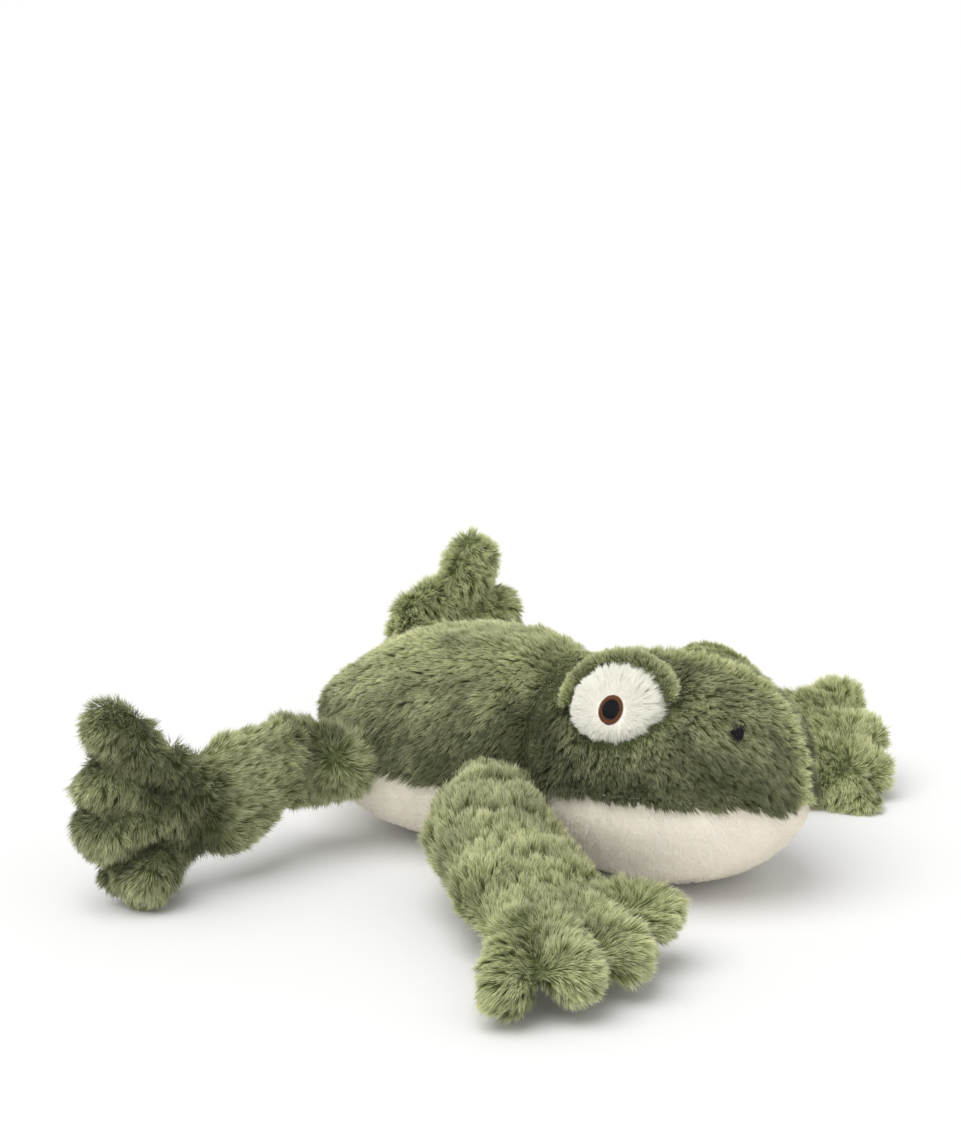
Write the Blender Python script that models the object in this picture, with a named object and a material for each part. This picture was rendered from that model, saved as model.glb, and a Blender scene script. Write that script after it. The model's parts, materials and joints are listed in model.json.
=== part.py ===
"""A floppy plush frog lying on its belly, 0.28 m from snout to tail end.

The frog faces -Y and its own left side is +X. The origin is on the floor under the middle of the
whole toy. Every soft piece is a ball drawn out into its form: a long-pile cover with a hollow in
it, and the wad of filling that the hollow holds. Covers meet at sewn folds, where the toy bends.
"""

from math import acos, atan2, copysign, cos, pi, radians, sin

import bmesh
import bpy
from mathutils import Matrix, Vector

for old in list(bpy.data.objects):
    bpy.data.objects.remove(old, do_unlink=True)

# Sizes of the torso, in metres
torso_length = 0.145
torso_half_width = 0.060
torso_height = 0.107
body_seam_height = 0.041

# Sizes of the head
head_length = 0.127
head_half_width = 0.062
head_height = 0.109
head_roll = radians(9)
head_sideways_turn = radians(-4)
jaw_seam_back_height = 0.036
jaw_seam_front_height = 0.045

# Sizes of the cloth, the seams and the fits
pile_cloth = 0.006
limb_cloth = 0.005
fold_seam_radius = 0.0012
seam_gap = 0.0003
arm_head_gap = 0.0042
filling_gap = 0.0008
slit_width = 0.0012
slit_length = 0.018
cutter_reach = 0.30

# The folds where the head and the limbs are sewn on
neck_height = 0.052
neck_fold_length = 0.066
shoulder_height = 0.043
shoulder_fold_length = 0.032
hip_height = 0.044
hip_fold_length = 0.030
wrist_fold_length = 0.038
knee_fold_length = 0.026
ankle_fold_length = 0.030

# Half widths and half thicknesses of the limbs
upper_arm_half_width = 0.032
upper_arm_half_thickness = 0.025
thigh_half_width = 0.025
thigh_half_thickness = 0.022
shin_half_width = 0.030
shin_half_thickness = 0.017
palm_half_width = 0.036
palm_half_thickness = 0.015
sole_half_width = 0.038
sole_half_thickness = 0.0145
finger_radius = 0.0150
toe_radius = 0.0168
hand_length = 0.103
foot_length = 0.078

# How far it is from each fold to the next
upper_arm_length = 0.090
thigh_length = 0.031
shin_length = 0.057

# The eyes, their lids and the nostrils
eye_half_length = 0.0245
eye_half_height = 0.0210
eye_half_thickness = 0.0095
eye_spacing = 0.097
eye_height = 0.085
eye_upward_tilt = radians(24)
eye_forward_turn = radians(4)
iris_radius = 0.0067
pupil_radius = 0.0050
thread_height = 0.0014
iris_forward_offset = 0.0026
iris_down_offset = 0.0038
stitch_gap = 0.0004
lid_radius = 0.0052
lid_sink = 0.0030
lid_start = radians(-20)
lid_end = radians(205)
nostril_spacing = 0.062
nostril_height = 0.081
nostril_half_length = 0.0045
nostril_half_height = 0.0030
nostril_depth = 0.004

# Facets round and along the forms
torso_facets = (24, 22)
head_facets = (24, 24)
wad_facets = (14, 10)
limb_facets = (16, 12)
limb_wad_facets = (10, 8)
palm_facets = (14, 10)
toe_facets = (12, 8)
eye_facets = (24, 8)
lid_facets = (8, 14)
nostril_facets = (10, 6)
fold_facets = 8
iris_facets = 20

# Length, half width, top, widest height and bottom of the torso, from the neck to the tail end
torso_section_shares = (
    (0.000, 0.00, 0.486, 0.486, 0.486),
    (0.007, 0.33, 0.680, 0.470, 0.300),
    (0.021, 0.60, 0.810, 0.450, 0.150),
    (0.046, 0.77, 0.940, 0.430, 0.060),
    (0.092, 0.87, 0.995, 0.420, 0.012),
    (0.197, 0.95, 1.015, 0.420, -0.005),
    (0.380, 1.00, 1.010, 0.420, -0.005),
    (0.577, 0.97, 0.965, 0.420, -0.005),
    (0.754, 0.84, 0.855, 0.430, 0.060),
    (0.879, 0.63, 0.735, 0.450, 0.170),
    (0.957, 0.38, 0.620, 0.465, 0.310),
    (1.000, 0.00, 0.470, 0.470, 0.470),
)

# The same for the head, from the neck to the snout
head_section_shares = (
    (0.000, 0.00, 0.477, 0.477, 0.477),
    (0.008, 0.33, 0.660, 0.465, 0.300),
    (0.026, 0.60, 0.800, 0.440, 0.150),
    (0.056, 0.78, 0.880, 0.420, 0.060),
    (0.112, 0.88, 0.930, 0.410, 0.010),
    (0.224, 0.96, 0.970, 0.410, -0.010),
    (0.416, 1.00, 1.000, 0.410, -0.015),
    (0.600, 0.94, 0.990, 0.420, 0.010),
    (0.752, 0.81, 0.940, 0.440, 0.080),
    (0.864, 0.62, 0.860, 0.460, 0.180),
    (0.944, 0.40, 0.740, 0.480, 0.300),
    (0.988, 0.20, 0.610, 0.490, 0.390),
    (1.000, 0.00, 0.500, 0.500, 0.500),
)
section_power = 0.88

# Share of a limb's full width from one sewn end to the other
arm_width_shares = (0.54, 0.85, 1.00, 0.98, 0.94)
thigh_width_shares = (0.85, 1.00, 1.00, 1.00, 1.00)
shin_width_shares = (0.86, 0.95, 1.00, 1.08, 1.12)
palm_width_shares = (0.95, 1.00, 1.04, 1.06, 1.00)
end_width_power = 0.28
end_thickness_power = 0.90
toe_power = 0.50
toe_start_share = 0.34
toe_root_share = 0.80
palm_length_share = 0.74
snout_core_share = 0.62
eye_back_share = 0.405
nostril_back_share = 0.850
lid_overhang_share = 0.33

# Each toe's spread and curl in degrees, and its share of the hand's or the foot's length
right_hand_toe_shares = ((-33, 0, 1.00), (-14, 4, 0.95), (7, 3, 0.84), (38, 4, 0.72))
left_hand_toe_shares = ((-28, -4, 0.84), (-9, -2, 0.80), (10, 0, 0.78), (31, 0, 0.74))
right_foot_toe_shares = ((-44, 0, 0.98), (-19, -4, 0.84), (3, 0, 0.82), (37, 16, 0.74))
left_foot_toe_shares = ((-53, 0, 0.90), (-14, 0, 0.84), (13, 0, 0.84), (45, 0, 0.80))

plush_green = (0.198, 0.264, 0.105)
plush_cream = (0.791, 0.745, 0.645)
plush_white = (0.871, 0.855, 0.791)
thread_brown = (0.260, 0.072, 0.022)
thread_black = (0.012, 0.012, 0.014)
filling_white = (0.850, 0.850, 0.850)
seam_green = (0.105, 0.147, 0.060)
cloth_roughness = 0.95

UP = Vector((0, 0, 1))
fold_clearance = fold_seam_radius + seam_gap


def material(name, colour):
    """A matt cloth, thread or filling of one colour."""
    made = bpy.data.materials.new(name)
    made.use_nodes = True
    shader = made.node_tree.nodes["Principled BSDF"]
    shader.inputs["Base Color"].default_value = (*colour, 1)
    shader.inputs["Roughness"].default_value = cloth_roughness
    shader.inputs["Metallic"].default_value = 0
    return made


def face_outwards(form):
    """Turn a closed form's faces so that they all point out of it."""
    form.normal_update()
    bmesh.ops.recalc_face_normals(form, faces=form.faces)
    if form.calc_volume(signed=True) < 0:
        bmesh.ops.reverse_faces(form, faces=form.faces)
    form.normal_update()


def add_object(name, form, colour):
    """Turn a bmesh into a named object with a material of its own."""
    face_outwards(form)
    mesh = bpy.data.meshes.new(name)
    form.to_mesh(mesh)
    form.free()
    mesh.shade_smooth()
    mesh.materials.append(material(name + "_finish", colour))
    made = bpy.data.objects.new(name, mesh)
    bpy.context.scene.collection.objects.link(made)
    return made


def as_cutter(piece):
    """Hide a guide solid that only shapes other pieces."""
    piece.hide_render = True
    piece.display_type = "WIRE"
    return piece


def shape_with(piece, tool, operation="DIFFERENCE"):
    """Cut a piece with a hidden solid, or join the solid to it."""
    step = piece.modifiers.new(operation.title(), "BOOLEAN")
    step.operation = operation
    step.solver = "EXACT"
    step.object = tool


def ball(name, facets, place, colour, inset=0):
    """A closed ball whose points go where place(share from pole to pole, angle round, inset) says."""
    around, along = facets
    form = bmesh.new()
    bmesh.ops.create_uvsphere(form, u_segments=around, v_segments=along, radius=1)
    for corner in form.verts:
        x, y, z = corner.co
        corner.co = place(acos(max(-1, min(1, z))) / pi, atan2(y, x), inset)
    bmesh.ops.triangulate(form, faces=form.faces, quad_method="FIXED")
    return add_object(name, form, colour)


def block(name, low, high, turn=Matrix.Identity(4)):
    """A hidden box between two corners, then moved by a matrix."""
    form = bmesh.new()
    bmesh.ops.create_cube(form, size=1)
    for corner in form.verts:
        corner.co = Vector(high[i] if corner.co[i] > 0 else low[i] for i in range(3))
    form.transform(turn)
    return as_cutter(add_object(name, form, seam_green))


def powered(value, power):
    return copysign(abs(value) ** power, value)


def between(shares, at):
    """A smooth curve through a row of values, read at a share of the row."""
    place = max(0.0, min(1.0, at)) * (len(shares) - 1)
    step = min(int(place), len(shares) - 2)
    t = place - step
    near, far = shares[step], shares[step + 1]
    lead = (far - shares[max(step - 1, 0)]) / 2
    trail = (shares[min(step + 2, len(shares) - 1)] - near) / 2
    rise = far - near
    return near + t * (lead + t * (3 * rise - 2 * lead - trail + t * (lead + trail - 2 * rise)))


def section_place(shares, start, length, half_width, height, turn=Matrix.Identity(4)):
    """Where the torso's or the head's points go: rounded sections, one after another along Y."""
    columns = tuple(zip(*shares))

    def place(share, angle, inset):
        along, wide, top, middle, bottom = (between(column, share) for column in columns)
        reach = (top - middle) if sin(angle) > 0 else (middle - bottom)
        step = inset * copysign(1, length)
        x = powered(cos(angle), section_power) * wide * (half_width - inset)
        y = start + step + along * (length - 2 * step)
        z = inset + (middle + powered(sin(angle), section_power) * reach) * (height - 2 * inset)
        return turn @ Vector((x, y, z))

    return place


def aim(side, heading, pitch):
    """The way out to one side, turned forward by heading and up by pitch, in degrees."""
    ahead, rise = radians(heading), radians(pitch)
    return Vector((side * cos(ahead) * cos(rise), -sin(ahead) * cos(rise), sin(rise)))


def frame_of(way, across):
    """The square frame of a limb: along it, across it and out of its face."""
    along = way.normalized()
    flat = (across - along * across.dot(along)).normalized()
    return along, flat, along.cross(flat)


def sweep_place(start, end, start_way, end_way, start_across, end_across, width, thickness, shares):
    """Where a limb's points go: flat oval sections along a bend from one sewn fold to the next."""
    rise = end - start
    lead, trail = start_way * rise.length, end_way * rise.length

    def place(share, angle, inset):
        closed = inset / rise.length
        t = closed + (1 - 2 * closed) * (1 - cos(pi * share)) / 2
        rounding = sin(pi * share)
        centre = start + t * (lead + t * (3 * rise - 2 * lead - trail + t * (lead + trail - 2 * rise)))
        _, flat, out = frame_of(start_way.lerp(end_way, t), start_across.lerp(end_across, t))
        wide = (width - inset) * between(shares, t) * rounding**end_width_power
        deep = (thickness - inset) * rounding**end_thickness_power
        return centre + flat * cos(angle) * wide + out * sin(angle) * deep

    return place


def toe_place(start, end, radius):
    """Where a toe's points go: round sections that swell towards the tip."""
    way = (end - start).normalized()
    _, flat, out = frame_of(way, way.orthogonal())

    def place(share, angle, inset):
        t = (1 - cos(pi * share)) / 2
        swell = toe_root_share + (1 - toe_root_share) * t
        reach = (radius - inset) * swell * sin(pi * share) ** toe_power
        return start.lerp(end, t) + (flat * cos(angle) + out * sin(angle)) * reach

    return place


def hang(carrier, *pieces):
    """Let pieces follow their carrier from where they all now are."""
    for piece in pieces:
        piece.parent = carrier
        piece.matrix_parent_inverse = carrier.matrix_basis.inverted()


def empty(name, place=Matrix.Identity(4)):
    """A point that carries pieces."""
    made = bpy.data.objects.new(name, None)
    made.matrix_basis = place
    bpy.context.scene.collection.objects.link(made)
    return made


def fold(name, centre, across, length, carrier):
    """The rolled seam along the line where two pieces bend, and the empty that carries the outer one."""
    form = bmesh.new()
    bmesh.ops.create_cone(
        form,
        cap_ends=True,
        segments=fold_facets,
        radius1=fold_seam_radius,
        radius2=fold_seam_radius,
        depth=length,
    )
    place = Matrix.Translation(centre) @ across.to_track_quat("Z", "Y").to_matrix().to_4x4()
    form.transform(place)
    line = empty(name + "_fold", place)
    hang(carrier, line, add_object(name + "_seam", form, seam_green))
    return line


def fill(name, cover, place, opening, carrier):
    """Hollow a limb's cover, cut its slit and put its filling inside it."""
    hollow = as_cutter(ball(name + "_hollow", limb_wad_facets, place, plush_green, limb_cloth))
    filling = ball(name + "_filling", limb_wad_facets, place, filling_white, limb_cloth + filling_gap)
    for cutter in (hollow, opening):
        shape_with(cover, cutter)
    hang(carrier, cover, filling)


def slit(name, at, way, across):
    """The opening in the sewn end through which a cover is filled."""
    along, flat, out = frame_of(way, across)
    turn = Matrix.Translation(at) @ Matrix((flat, along, out)).transposed().to_4x4()
    half_length, half_width, depth = slit_length / 2, slit_width / 2, 2 * limb_cloth
    return block(name + "_slit", (-half_length, -depth, -half_width), (half_length, depth, half_width), turn)


def floor_cut():
    """Everything below the surface that the toy lies on."""
    reach = cutter_reach
    return block("floor_cutter", (-reach, -reach, -reach), (reach, reach, 0))


def seat_on(form, way, height):
    """The point of a form that lies furthest along a level way, brought to the given height."""
    furthest = max((corner.co for corner in form.data.vertices), key=lambda point: point.dot(way))
    level = Vector((furthest.x, furthest.y, height))
    return level + way * (furthest.dot(way) - level.dot(way))


def build_torso(floor):
    """Back panel, belly panel and filling, which meet at the seam round the body."""
    start = fold_clearance
    place = section_place(torso_section_shares, start, torso_length, torso_half_width, torso_height)
    form = as_cutter(ball("torso_form", torso_facets, place, plush_green))
    hollow = as_cutter(ball("torso_hollow", wad_facets, place, plush_green, pile_cloth))
    ball("torso_filling", wad_facets, place, filling_white, pile_cloth + filling_gap)
    reach = cutter_reach
    half_gap = seam_gap / 2
    below = block("below_body_seam", (-reach, -reach, -reach), (reach, reach, body_seam_height + half_gap))
    above = block("above_body_seam", (-reach, -reach, body_seam_height - half_gap), (reach, reach, reach))
    back = ball("back_panel", torso_facets, place, plush_green)
    belly = ball("belly_panel", torso_facets, place, plush_cream)
    for panel, cutter in ((back, below), (belly, above)):
        shape_with(panel, hollow)
        shape_with(panel, cutter)
    shape_with(belly, floor)
    return form


def jaw_cutters():
    """Half spaces above and below the seam between the green head and the cream jaw."""
    reach = cutter_reach
    slope = atan2(jaw_seam_front_height - jaw_seam_back_height, head_length)
    turn = Matrix.Translation((0, 0, jaw_seam_back_height)) @ Matrix.Rotation(-slope, 4, "X")
    half_gap = seam_gap / 2
    turn = head_turn() @ turn
    return (
        block("below_jaw_seam", (-reach, -reach, -reach), (reach, reach, half_gap), turn),
        block("above_jaw_seam", (-reach, -reach, -half_gap), (reach, reach, reach), turn),
    )


def head_turn():
    """The head lies rolled about the line through its neck, with its right side up, and looks right."""
    pivot = Matrix.Translation((0, 0, neck_height))
    turn = Matrix.Rotation(head_sideways_turn, 4, "Z") @ Matrix.Rotation(head_roll, 4, "Y")
    return pivot @ turn @ pivot.inverted()


def build_head(floor, neck):
    """Two green panels that meet on the crown, the cream jaw and the filling."""
    turn = head_turn()
    place = section_place(
        head_section_shares, -fold_clearance, -head_length, head_half_width, head_height, turn
    )
    hollow = as_cutter(ball("head_hollow", wad_facets, place, plush_green, pile_cloth))
    hang(neck, ball("head_filling", wad_facets, place, filling_white, pile_cloth + filling_gap))
    below, above = jaw_cutters()
    reach, half_gap = cutter_reach, seam_gap / 2
    for side, name in ((-1, "right"), (1, "left")):
        panel = ball(name + "_head_panel", head_facets, place, plush_green)
        edges = sorted((-side * reach, side * half_gap))
        other = block(name + "_crown_cutter", (edges[0], -reach, -reach), (edges[1], reach, reach), turn)
        for cutter in (hollow, below, other):
            shape_with(panel, cutter)
        hang(neck, panel)
    jaw = ball("jaw_panel", head_facets, place, plush_cream)
    for cutter in (hollow, above, floor):
        shape_with(jaw, cutter)
    hang(neck, jaw)
    grown = as_cutter(ball("head_grown", head_facets, place, plush_green, -seam_gap))
    return grown, as_cutter(ball("head_room", head_facets, place, plush_green, -arm_head_gap))


def eye_frame(side):
    """The middle of an eye, the way it faces, the way back along the head and the way up."""
    facing = aim(side, 0, 0)
    facing.rotate(Matrix.Rotation(side * -eye_upward_tilt, 3, "Y"))
    facing.rotate(Matrix.Rotation(side * -eye_forward_turn, 3, "Z"))
    back = (Vector((0, 1, 0)) - facing * facing.y).normalized()
    up = facing.cross(back)
    if up.z < 0:
        up.negate()
    turn = head_turn()
    centre = turn @ Vector((side * eye_spacing / 2, -head_length * eye_back_share, eye_height))
    spin = turn.to_3x3()
    return centre, spin @ facing, spin @ back, spin @ up


def eye_surface(back_share, up_share):
    """How far the eye's face stands out at a place given as shares of its half sizes."""
    return eye_half_thickness * max(0, 1 - back_share**2 - up_share**2) ** 0.5


def build_eye(side, name, head_grown, neck):
    """White pad, brown iris ring, black pupil and the padded lid over them."""
    centre, facing, back, up = eye_frame(side)

    def pad_place(share, angle, inset):
        ring = sin(pi * share)
        along = cos(angle) * ring * (eye_half_length - inset)
        rise = sin(angle) * ring * (eye_half_height - inset)
        return centre + facing * cos(pi * share) * (eye_half_thickness - inset) + back * along + up * rise

    def on_eye(along, rise, height):
        stand = eye_surface(along / eye_half_length, rise / eye_half_height) + stitch_gap + height
        return centre + facing * stand + back * along + up * rise

    def pupil_place(share, angle, inset):
        ring = (pupil_radius - inset) * sin(pi * share)
        height = thread_height * (1 + cos(pi * share)) / 2
        return on_eye(ring * cos(angle) - iris_forward_offset, ring * sin(angle) - iris_down_offset, height)

    pad = ball(name + "_eye_white", eye_facets, pad_place, plush_white)
    shape_with(pad, head_grown)
    pupil = ball(name + "_pupil", nostril_facets, pupil_place, thread_black)

    form = bmesh.new()
    inner = pupil_radius + stitch_gap
    profile = [(inner, 0), (iris_radius, 0), (iris_radius, thread_height), (inner, thread_height)]
    corners = [form.verts.new((reach, 0, height)) for reach, height in profile]
    edges = [form.edges.new((corners[i], corners[(i + 1) % len(corners)])) for i in range(len(corners))]
    bmesh.ops.spin(
        form,
        geom=corners + edges,
        cent=(0, 0, 0),
        axis=UP,
        dvec=(0, 0, 0),
        angle=2 * pi,
        steps=iris_facets,
        use_merge=True,
    )
    for corner in form.verts:
        corner.co = on_eye(corner.co.x - iris_forward_offset, corner.co.y - iris_down_offset, corner.co.z)
    iris = add_object(name + "_iris", form, thread_brown)

    def lid_place(share, angle, inset):
        turn = lid_end + (lid_start - lid_end) * share
        out = back * cos(turn) + up * sin(turn)
        ring = back * cos(turn) * eye_half_length + up * sin(turn) * eye_half_height
        reach = (lid_radius - inset) * sin(pi * share) ** end_width_power
        middle = centre + ring + out * lid_radius * lid_overhang_share - facing * lid_sink
        return middle + (out * cos(angle) + facing * sin(angle)) * reach

    eye_grown = as_cutter(ball(name + "_eye_grown", eye_facets, pad_place, plush_white, -seam_gap))
    lid = ball(name + "_eyelid", lid_facets, lid_place, plush_green)
    for cutter in (head_grown, eye_grown):
        shape_with(lid, cutter)
    hang(neck, pad, pupil, iris, lid)


def build_nostril(side, name, head_grown, neck):
    """A small oval of black satin stitches on the side of the snout."""
    centre = Vector((side * nostril_spacing / 2, -head_length * nostril_back_share, nostril_height))
    core = Vector((0, -head_length * snout_core_share, neck_height))
    facing, along, rise = frame_of(centre - core, Vector((0, 1, 0)))
    turn = head_turn()

    def place(share, angle, inset):
        ring = sin(pi * share)
        length = along * cos(angle) * ring * (nostril_half_length - inset)
        height = rise * sin(angle) * ring * (nostril_half_height - inset)
        return turn @ (centre + facing * cos(pi * share) * (nostril_depth - inset) + length + height)

    dot = ball(name + "_nostril", nostril_facets, place, thread_black)
    shape_with(dot, head_grown)
    hang(neck, dot)


def limb_section(
    name,
    start,
    end,
    start_way,
    end_way,
    start_across,
    end_across,
    half_sizes,
    shares,
    carrier,
    room=None,
):
    """One filled length of a limb between the folds at start and end, cut where it lies against room."""
    width, thickness = half_sizes
    first = start + start_way * fold_clearance
    last = end - end_way * fold_clearance
    place = sweep_place(
        first, last, start_way, end_way, start_across, end_across, width, thickness, shares
    )
    cover = ball(name + "_cover", limb_facets, place, plush_green)
    if room:
        shape_with(cover, room)
    fill(name, cover, place, slit(name, first, start_way, start_across), carrier)


def paw(name, start, way, across, length, half_sizes, radius, toes, floor, carrier):
    """A palm or a sole with four filled toes that fan out from it."""
    along, flat, out = frame_of(way, across)
    width, thickness = half_sizes
    first = start + along * fold_clearance
    last = start + along * length * palm_length_share
    place = sweep_place(first, last, along, along, flat, flat, width, thickness, palm_width_shares)
    cover = ball(name + "_cover", palm_facets, place, plush_green)
    for count, (spread, curl, share) in enumerate(toes, 1):
        turn, lift = radians(spread), radians(curl)
        toe_way = (along * cos(turn) + flat * sin(turn)) * cos(lift) + out * sin(lift)
        root = start + toe_way * length * toe_start_share
        tip = start + toe_way * length * share
        toe = ball(f"{name}_toe_{count}", toe_facets, toe_place(root, tip, radius), plush_green)
        shape_with(cover, as_cutter(toe), "UNION")
    shape_with(cover, floor)
    fill(name, cover, place, slit(name, first, along, flat), carrier)


def build_arm(side, name, torso, head_room, floor, body, posture):
    """Upper arm and hand, sewn to the torso's side at the shoulder."""
    root_way = aim(side, posture["root_heading"], 0)
    shoulder = seat_on(torso, root_way, shoulder_height) + root_way * fold_clearance
    shoulder_across = UP.cross(root_way)
    arm_way = aim(side, posture["arm_heading"], posture["arm_pitch"])
    wrist = shoulder + arm_way * upper_arm_length * posture["arm_reach_share"]
    hand_way = aim(side, posture["hand_heading"], posture["hand_pitch"])
    wrist_across = (UP.cross(hand_way)).normalized()
    wrist_across.rotate(Matrix.Rotation(radians(posture["hand_roll"]), 3, hand_way))
    shoulder_line = fold(name + "_shoulder", shoulder, shoulder_across, shoulder_fold_length, body)
    wrist_line = fold(name + "_wrist", wrist, wrist_across, wrist_fold_length, shoulder_line)
    limb_section(
        name + "_upper_arm",
        shoulder,
        wrist,
        root_way,
        hand_way,
        shoulder_across,
        wrist_across,
        (upper_arm_half_width, upper_arm_half_thickness),
        arm_width_shares,
        shoulder_line,
        head_room,
    )
    paw(
        name + "_hand",
        wrist,
        hand_way,
        wrist_across,
        hand_length,
        (palm_half_width, palm_half_thickness),
        finger_radius,
        posture["toes"],
        floor,
        wrist_line,
    )


def build_leg(side, name, torso, floor, body, posture):
    """Thigh, shin and foot, sewn to the torso's side at the hip."""
    root_way = aim(side, posture["root_heading"], 0)
    hip = seat_on(torso, root_way, hip_height) + root_way * fold_clearance
    hip_across = UP.cross(root_way)
    thigh_way = aim(side, posture["thigh_heading"], posture["thigh_pitch"])
    knee = hip + thigh_way * thigh_length
    shin_way = aim(side, posture["shin_heading"], posture["shin_pitch"])
    ankle = knee + shin_way * shin_length
    foot_way = aim(side, posture["foot_heading"], posture["foot_pitch"])
    knee_across = frame_of(shin_way, -UP)[1]
    ankle_across = frame_of(foot_way, -UP)[1]
    hip_line = fold(name + "_hip", hip, hip_across, hip_fold_length, body)
    knee_line = fold(name + "_knee", knee, knee_across, knee_fold_length, hip_line)
    ankle_line = fold(name + "_ankle", ankle, ankle_across, ankle_fold_length, knee_line)
    limb_section(
        name + "_thigh",
        hip,
        knee,
        root_way,
        shin_way,
        hip_across * side,
        knee_across,
        (thigh_half_width, thigh_half_thickness),
        thigh_width_shares,
        hip_line,
    )
    limb_section(
        name + "_shin",
        knee,
        ankle,
        shin_way,
        foot_way,
        knee_across,
        ankle_across,
        (shin_half_width, shin_half_thickness),
        shin_width_shares,
        knee_line,
    )
    paw(
        name + "_foot",
        ankle,
        foot_way,
        ankle_across,
        foot_length,
        (sole_half_width, sole_half_thickness),
        toe_radius,
        posture["toes"],
        floor,
        ankle_line,
    )


right_arm_posture = {
    "root_heading": 24,
    "arm_reach_share": 1.01,
    "arm_heading": 41,
    "arm_pitch": -10,
    "hand_heading": 60,
    "hand_pitch": -9,
    "hand_roll": 0,
    "toes": right_hand_toe_shares,
}
left_arm_posture = {
    "root_heading": 28,
    "arm_reach_share": 0.95,
    "arm_heading": 30,
    "arm_pitch": -9,
    "hand_heading": 60,
    "hand_pitch": -6,
    "hand_roll": 32,
    "toes": left_hand_toe_shares,
}
right_leg_posture = {
    "root_heading": -18,
    "thigh_heading": -32,
    "thigh_pitch": 7,
    "shin_heading": -9,
    "shin_pitch": -7,
    "foot_heading": -24,
    "foot_pitch": 0,
    "toes": right_foot_toe_shares,
}
left_leg_posture = {
    "root_heading": -24,
    "thigh_heading": -35,
    "thigh_pitch": 7,
    "shin_heading": -45,
    "shin_pitch": 8,
    "foot_heading": 30,
    "foot_pitch": 0,
    "toes": left_foot_toe_shares,
}


def stand_over_origin(body):
    """Hang all that is left on the body, and move it until the origin is on the floor under its middle."""
    hang(body, *(piece for piece in bpy.data.objects if piece.parent is None and piece is not body))
    view = bpy.context.evaluated_depsgraph_get()
    shown = [piece.evaluated_get(view) for piece in bpy.data.objects if not piece.hide_render and piece.data]
    corners = [corner.co for piece in shown for corner in piece.data.vertices]
    low, high = (Vector(limit(point[i] for point in corners) for i in range(3)) for limit in (min, max))
    body.location = -Vector((low.x + high.x, low.y + high.y, 2 * low.z)) / 2
    bpy.context.view_layer.update()
    print("the toy measures", high - low)
    for line in (piece for piece in bpy.data.objects if piece.name.endswith("_fold")):
        print(line.name, line.matrix_world.translation, line.matrix_world.col[2].xyz)


def main():
    floor = floor_cut()
    body = empty("body")
    neck_across = Matrix.Rotation(head_sideways_turn / 2, 3, "Z") @ Vector((1, 0, 0))
    neck = fold("neck", Vector((0, 0, neck_height)), neck_across, neck_fold_length, body)
    torso = build_torso(floor)
    head_grown, head_room = build_head(floor, neck)
    for side, name in ((-1, "right"), (1, "left")):
        build_eye(side, name, head_grown, neck)
        build_nostril(side, name, head_grown, neck)
    build_arm(-1, "right", torso, head_room, floor, body, right_arm_posture)
    build_arm(1, "left", torso, head_room, floor, body, left_arm_posture)
    build_leg(-1, "right", torso, floor, body, right_leg_posture)
    build_leg(1, "left", torso, floor, body, left_leg_posture)
    stand_over_origin(body)


main()
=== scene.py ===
"""Looks of a floppy plush frog: padded skins, real pile planted on them, stitched eyes and a studio."""

import json
from math import cos, exp, pi, radians, sin

import bmesh
import bpy
from bpy.props import FloatProperty, FloatVectorProperty, IntProperty
from bpy.types import Operator, Panel, PropertyGroup
from mathutils import Matrix, Vector, noise
from mathutils.bvhtree import BVHTree


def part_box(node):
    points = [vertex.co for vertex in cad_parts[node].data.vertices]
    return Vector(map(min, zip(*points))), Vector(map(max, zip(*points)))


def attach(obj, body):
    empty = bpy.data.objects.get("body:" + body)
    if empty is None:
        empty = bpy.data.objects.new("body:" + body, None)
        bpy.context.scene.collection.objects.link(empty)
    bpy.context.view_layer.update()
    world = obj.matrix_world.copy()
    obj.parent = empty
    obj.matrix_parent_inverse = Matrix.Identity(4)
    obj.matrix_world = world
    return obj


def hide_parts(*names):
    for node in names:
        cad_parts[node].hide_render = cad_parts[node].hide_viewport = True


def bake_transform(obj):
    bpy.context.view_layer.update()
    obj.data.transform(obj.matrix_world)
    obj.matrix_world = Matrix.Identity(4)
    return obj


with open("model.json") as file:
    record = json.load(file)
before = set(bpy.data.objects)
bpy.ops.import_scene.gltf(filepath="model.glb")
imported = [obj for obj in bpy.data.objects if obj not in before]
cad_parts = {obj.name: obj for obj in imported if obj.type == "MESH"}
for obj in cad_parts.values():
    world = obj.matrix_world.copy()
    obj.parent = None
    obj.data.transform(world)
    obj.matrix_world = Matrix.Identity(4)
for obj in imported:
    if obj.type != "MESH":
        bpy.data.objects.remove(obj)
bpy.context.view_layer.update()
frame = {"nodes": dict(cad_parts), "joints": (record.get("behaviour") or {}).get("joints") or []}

bl_info = {
    "name": "Plush Frog",
    "version": (1, 0, 0),
    "blender": (4, 5, 0),
    "location": "3D View > Sidebar > Plush Frog",
    "description": "Dresses a sewn frog in long pile, short nap and embroidered eyes",
    "category": "Object",
}

UP = Vector((0, 0, 1))
BACKWARD = Vector((0, 1, 0))
LEFTWARD = Vector((1, 0, 0))
SIDES = ((-1, "right"), (1, "left"))
PER_SQUARE_MM = 1e6

# Widths of the voxels that the skins are shaped in, and of the embroidery threads
BODY_GRAIN = 0.0022
LIMB_GRAIN = 0.0019
EYE_GRAIN = 0.0011
IRIS_THREAD = 0.00045
NOSTRIL_THREAD = 0.0005
RING_STITCHES = 64

# How far over their seam the green and the cream skins are cut
TORSO_CUTS = (0.004, 0.005)
HEAD_CUTS = (0.005, 0.006)

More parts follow.
